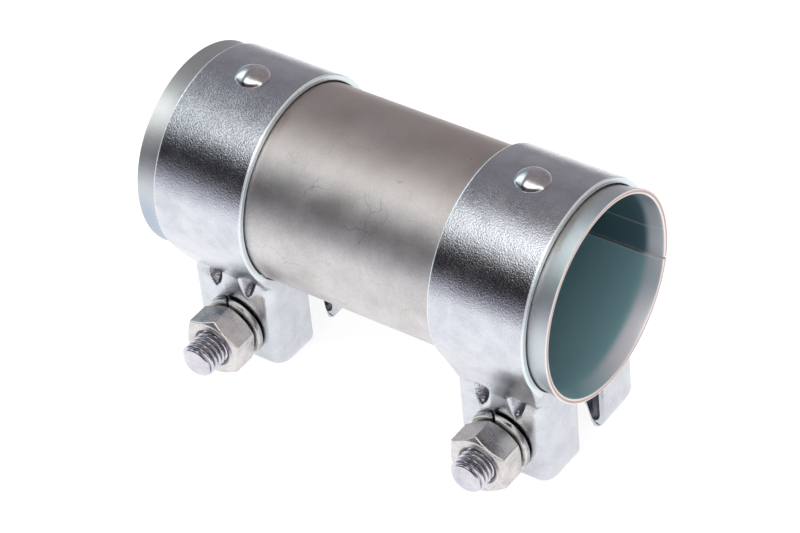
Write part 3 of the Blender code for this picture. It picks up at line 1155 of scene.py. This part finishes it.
@dataclass
class Clamp:
    """One bolted clamp: band, rivet, bolt, split washer and nut, measured from the CAD nodes."""

    side: Side
    axis: Vector
    finishes: dict[str, bpy.types.Material]
    front_rim: float
    nut_deg: float
    washer_room: float = 0.3 * MM
    head: float = 6.4 * MM

    def build(self) -> None:
        """Build and dress the clamp's five pieces."""
        side = self.side.value
        low, high = map(Vector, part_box(f"band_{side}"))
        centre = Vector(((low.x + high.x) / 2, self.axis.y, self.axis.z))
        foot = low.z - self.axis.z
        low, high = map(Vector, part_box(f"spring_washer_{side}"))
        line = Vector((centre.x, self.axis.y, (low.z + high.z) / 2))
        washer = SpringWasher(self.side, line, high.y - line.y, low.y - line.y)
        plate = self.axis.y - high.y - self.washer_room
        band = Band(self.side, centre, plate, self.front_rim, foot, self.axis.z - line.z)
        rivet = Rivet(self.side, centre, band.radius + band.strip)
        low, high = map(Vector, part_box(f"bolt_{side}"))
        bolt = Bolt(self.side, line, high.y - line.y, high.y - line.y - self.head, low.y - line.y)
        low, high = map(Vector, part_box(f"nut_{side}"))
        nut = Nut(self.side, line, high.y - line.y, low.y - line.y, math.radians(self.nut_deg))
        for piece, key, body, node in (
            (band, "band", "clamp", f"band_{side}"),
            (rivet, "rivet", "clamp", f"rivet_{side}"),
            (bolt, "bolt", "clamp", f"bolt_{side}"),
            (washer, "washer", f"washer_{side}", f"spring_washer_{side}"),
            (nut, "nut", f"nut_{side}", f"nut_{side}"),
        ):
            dress(piece.build(), self.finishes[key], body, node)


# ---- studio ----


@dataclass
class Studio:
    """White table, a tent of bright and dark panels round it, and the camera.

    The panels run round the X axis, in degrees from the front horizon overhead (90) to the back.
    Dim, far and near take over from the middle ones where the light comes from further left or
    right; their spans are the X of its direction, from the first trace of them to the full panel.
    """

    axis: Vector
    camera_at: tuple[float, float, float] = (379.32 * MM, -471.95 * MM, 495.62 * MM)
    azimuth_deg: float = 38.88
    elevation_deg: float = 40.23
    roll_deg: float = -5.95
    lens: float = 139.1
    glow: float = 1.32
    table_radius: float = 270.0 * MM
    table_drop: float = 0.4 * MM
    lamp_energy: float = 2.6
    lamp_spread_deg: float = 80.0
    lamp_tilt_deg: tuple[float, float] = (12.0, -8.0)
    dim_span: tuple[float, float] = (-0.465, -0.505)
    far_span: tuple[float, float] = (-0.60, -0.70)
    near_span: tuple[float, float] = (-0.36, -0.24)
    over: Panels = (
        (-180, "#8C888C"), (-171, "#8E8C8E"), (-160, "#B4B2B8"), (-148, "#D4D4D8"), (-30, "#DCDCE4"),
        (-8, "#C0C0C8"), (0, "#706E76"), (10, "#262226"), (20, "#221E20"), (32, "#322E30"), (42, "#706E70"),
        (48, "#ECEEF0"), (54, "#FFFFFF", 1.8), (71, "#FFFFFF", 1.7), (80, "#E0E0E2"), (89, "#A09EA0"),
        (98, "#7C787A"), (112, "#847F84"), (135, "#827E84"), (150, "#848084"), (165, "#949094"),
        (180, "#8C888C"))
    dim: Panels = (
        (-180, "#8C888C"), (-171, "#8E8C8E"), (-160, "#B4B2B8"), (-148, "#D4D4D8"), (-30, "#E4E4EC"),
        (-8, "#D0D0D8"), (0, "#8E8C94"), (10, "#4A464A"), (20, "#2E2628"), (32, "#1A1618"), (40, "#242022"),
        (47, "#585658"), (56, "#707072"), (66, "#504E50"), (80, "#5C585C"), (92, "#6C686C"), (112, "#787478"),
        (150, "#848084"), (165, "#908C90"), (180, "#8C888C"))
    far: Panels = (
        (-180, "#90969C"), (-165, "#C8CCD0"), (-150, "#E8E8EC"), (-30, "#D0D4DC"), (0, "#949AA0"),
        (12, "#404448"), (30, "#4A5256"), (45, "#88989A"), (60, "#C8DCDE"), (78, "#F4FFFF", 1.25),
        (104, "#F4FFFF", 1.4), (114, "#E8F8FF", 1.1), (124, "#C4D0DA"), (136, "#90A0A6"), (160, "#80888E"),
        (180, "#90969C"))
    near: Panels = (
        (-180, "#8E8688"), (-165, "#C8C6CA"), (-150, "#E8E8EC"), (-30, "#C4CAD8"), (-8, "#B8B8C4"),
        (2, "#686068"), (12, "#4C444A"), (26, "#4E484A"), (36, "#A09C9A"), (46, "#FFFCF6", 1.3),
        (70, "#FFFFFA", 1.3), (82, "#B4B0AA"), (94, "#8C8684"), (112, "#8A8280"), (130, "#867E80"),
        (150, "#827A7C"), (165, "#8A8284"), (180, "#8E8688"))

    def stops(self, panels: Panels) -> list[tuple]:
        """Colour ramp stops, 0 at -180 degrees and 1 at 180."""
        return [((angle + 180) / 360, *rest) for angle, *rest in panels]

    def table(self) -> None:
        """A round table top of lit opal acrylic, so that shadows stay faint."""
        t = np.arange(96) * 2 * np.pi / 96
        mesh = bpy.data.meshes.new("table")
        ring = self.table_radius * np.stack([np.cos(t), np.sin(t), 0 * t], 1)
        mesh.from_pydata(ring.tolist(), [], [list(range(len(t)))])
        top = bpy.data.objects.new("table", mesh)
        top.location.z = -self.table_drop
        bpy.context.scene.collection.objects.link(top)
        paint = bpy.data.materials.new("lit_opal_acrylic")
        paint.use_nodes = True
        shader = paint.node_tree.nodes["Principled BSDF"].inputs
        for key, value in (("Base Color", linear("#89898B")), ("Emission Color", linear("#FFFFFF")),
                           ("Emission Strength", 0.88), ("Roughness", 0.9), ("Specular IOR Level", 0.1)):
            shader[key].default_value = value
        mesh.materials.append(paint)

    def tent(self) -> None:
        """Light the scene with the panels; past the object itself the camera sees plain white."""
        world = bpy.data.worlds.new("tent")
        bpy.context.scene.world = world
        world.use_nodes = True
        tree = world.node_tree
        tree.nodes.clear()
        split = add(tree, "SeparateXYZ", links={0: add(tree, "TexCoord").outputs["Generated"]})
        front = add(tree, "Math", {"operation": "MULTIPLY", 1: -1.0}, {0: split.outputs["Y"]}).outputs[0]
        angle = add(tree, "Math", {"operation": "ARCTAN2"}, {0: split.outputs["Z"], 1: front}).outputs[0]
        turn = {"From Min": -math.pi, "From Max": math.pi}
        share = add(tree, "MapRange", turn, {"Value": angle}).outputs[0]
        colour = add(tree, "ValToRGB", {"stops": self.stops(self.over)}, {0: share}).outputs[0]
        x = split.outputs["X"]
        for panels, span in ((self.dim, self.dim_span), (self.far, self.far_span),
                             (self.near, self.near_span)):
            other = add(tree, "ValToRGB", {"stops": self.stops(panels)}, {0: share}).outputs[0]
            here = add(tree, "MapRange", {"From Min": span[0], "From Max": span[1]}, {"Value": x}).outputs[0]
            colour = add(tree, "Mix", {"data_type": "RGBA"}, {0: here, 6: colour, 7: other}).outputs[2]
        lit = add(tree, "Background", {"Strength": self.glow}, {"Color": colour}).outputs[0]
        plain = add(tree, "Background", {"Color": linear("#FFFFFF"), "Strength": 1.0}).outputs[0]
        seen = add(tree, "LightPath").outputs["Is Camera Ray"]
        both = add(tree, "MixShader", links={0: seen, 1: lit, 2: plain}).outputs[0]
        add(tree, "OutputWorld", links={0: both})

    def lamp(self) -> None:
        """A broad overhead light that fills the table without showing in the metal."""
        data = bpy.data.lights.new("ceiling", "SUN")
        data.energy = self.lamp_energy
        data.angle = math.radians(self.lamp_spread_deg)
        item = bpy.data.objects.new("ceiling", data)
        item.rotation_euler = (*map(math.radians, self.lamp_tilt_deg), 0)
        item.visible_glossy = False
        bpy.context.scene.collection.objects.link(item)

    def camera(self) -> None:
        """The camera, long-lensed, looking down on the nuts and the right mouth."""
        data = bpy.data.cameras.new("camera")
        data.lens = self.lens
        data.sensor_width = 36.0
        data.clip_start, data.clip_end = 0.05, 20.0
        item = bpy.data.objects.new("camera", data)
        az, el, roll = (math.radians(v) for v in (self.azimuth_deg, self.elevation_deg, self.roll_deg))
        back = Vector((math.sin(az) * math.cos(el), -math.cos(az) * math.cos(el), math.sin(el)))
        level = Vector((math.cos(az), math.sin(az), 0.0))
        right = level * math.cos(roll) + back.cross(level) * math.sin(roll)
        frame = Matrix((right, back.cross(right), back)).transposed().to_4x4()
        frame.translation = self.axis + Vector(self.camera_at)
        item.matrix_world = frame
        bpy.context.scene.collection.objects.link(item)
        bpy.context.scene.camera = item

    def build(self) -> None:
        """Set up table, light and camera."""
        self.table()
        self.tent()
        self.lamp()
        self.camera()
        bpy.context.scene.view_settings.view_transform = "Standard"


def finishes() -> dict[str, bpy.types.Material]:
    """Make every finish.

    The steel's real grain is about 0.1 mm; it is drawn at 0.4 to 0.8 mm, as fine as it can show.

    Returns:
        Materials by the piece they dress.
    """
    made = {
        # Rolled sheet, barrel plated: a soft sheen with cloudy blotches, no sharp reflection.
        "sleeve": SleevePlate("satin_zinc_sheet", "#D7D4D5", "#BAB6B5", 0.40, 0.03, 0.5, 0.030, 14.0, 0.03),
        # Bright-dipped strip: a clear mirror broken into a fine sparkle, its sheared edges pale.
        "band": TwoTonePlate("bright_zinc_strip", "#D2D5DB", "#C0C3CA", 0.12, 0.04, 0.44, 0.070, 6.0, 0.04,
                             second="#E2ECF0"),
        # Cold-headed dome: smooth, one small sharp highlight.
        "rivet": ZincPlate("polished_zinc_dome", "#E0E0E4", "#C8C8CC", 0.14, 0.03, 0.8, 0.020, 4.0),
        # Rolled thread under blue passivation: bright crests, darker roots.
        "bolt": TwoTonePlate("blue_zinc_bolt", "#D6D4DC", "#BCB9C2", 0.18, 0.05, 0.4, 0.010, 4.0,
                             second="#3A3C42"),
        # Spring steel, plated after hardening: a little duller than the bolt.
        "washer": ZincPlate("zinc_spring_steel", "#DCDAD8", "#B8B6B4", 0.22, 0.05, 0.4, 0.010, 3.0),
        # Forged nut: matt, warm grey, no clear reflections.
        "nut": ZincPlate("matt_zinc_nut", "#DEDAD9", "#BCB8B7", 0.30, 0.06, 0.5, 0.040, 4.0),
    }
    return {name: finish.make() for name, finish in made.items()}


def main() -> None:
    """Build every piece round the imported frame."""
    logging.basicConfig(level=logging.INFO, format="%(name)s: %(message)s")
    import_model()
    low, high = map(Vector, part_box("sleeve"))
    rim = (high.z - low.z) / 2
    axis = Vector(((low.x + high.x) / 2, low.y + rim, (low.z + high.z) / 2))
    dressing = finishes()
    sleeve = Sleeve(axis, high.x - low.x, rim)
    dress(sleeve.build(), dressing["sleeve"], "clamp", "sleeve")
    Clamp(Side.LEFT, axis, dressing, front_rim=4.8 * MM, nut_deg=20.0).build()
    Clamp(Side.RIGHT, axis, dressing, front_rim=6.0 * MM, nut_deg=32.0).build()
    Studio(axis).build()


if __name__ == "__main__":
    main()
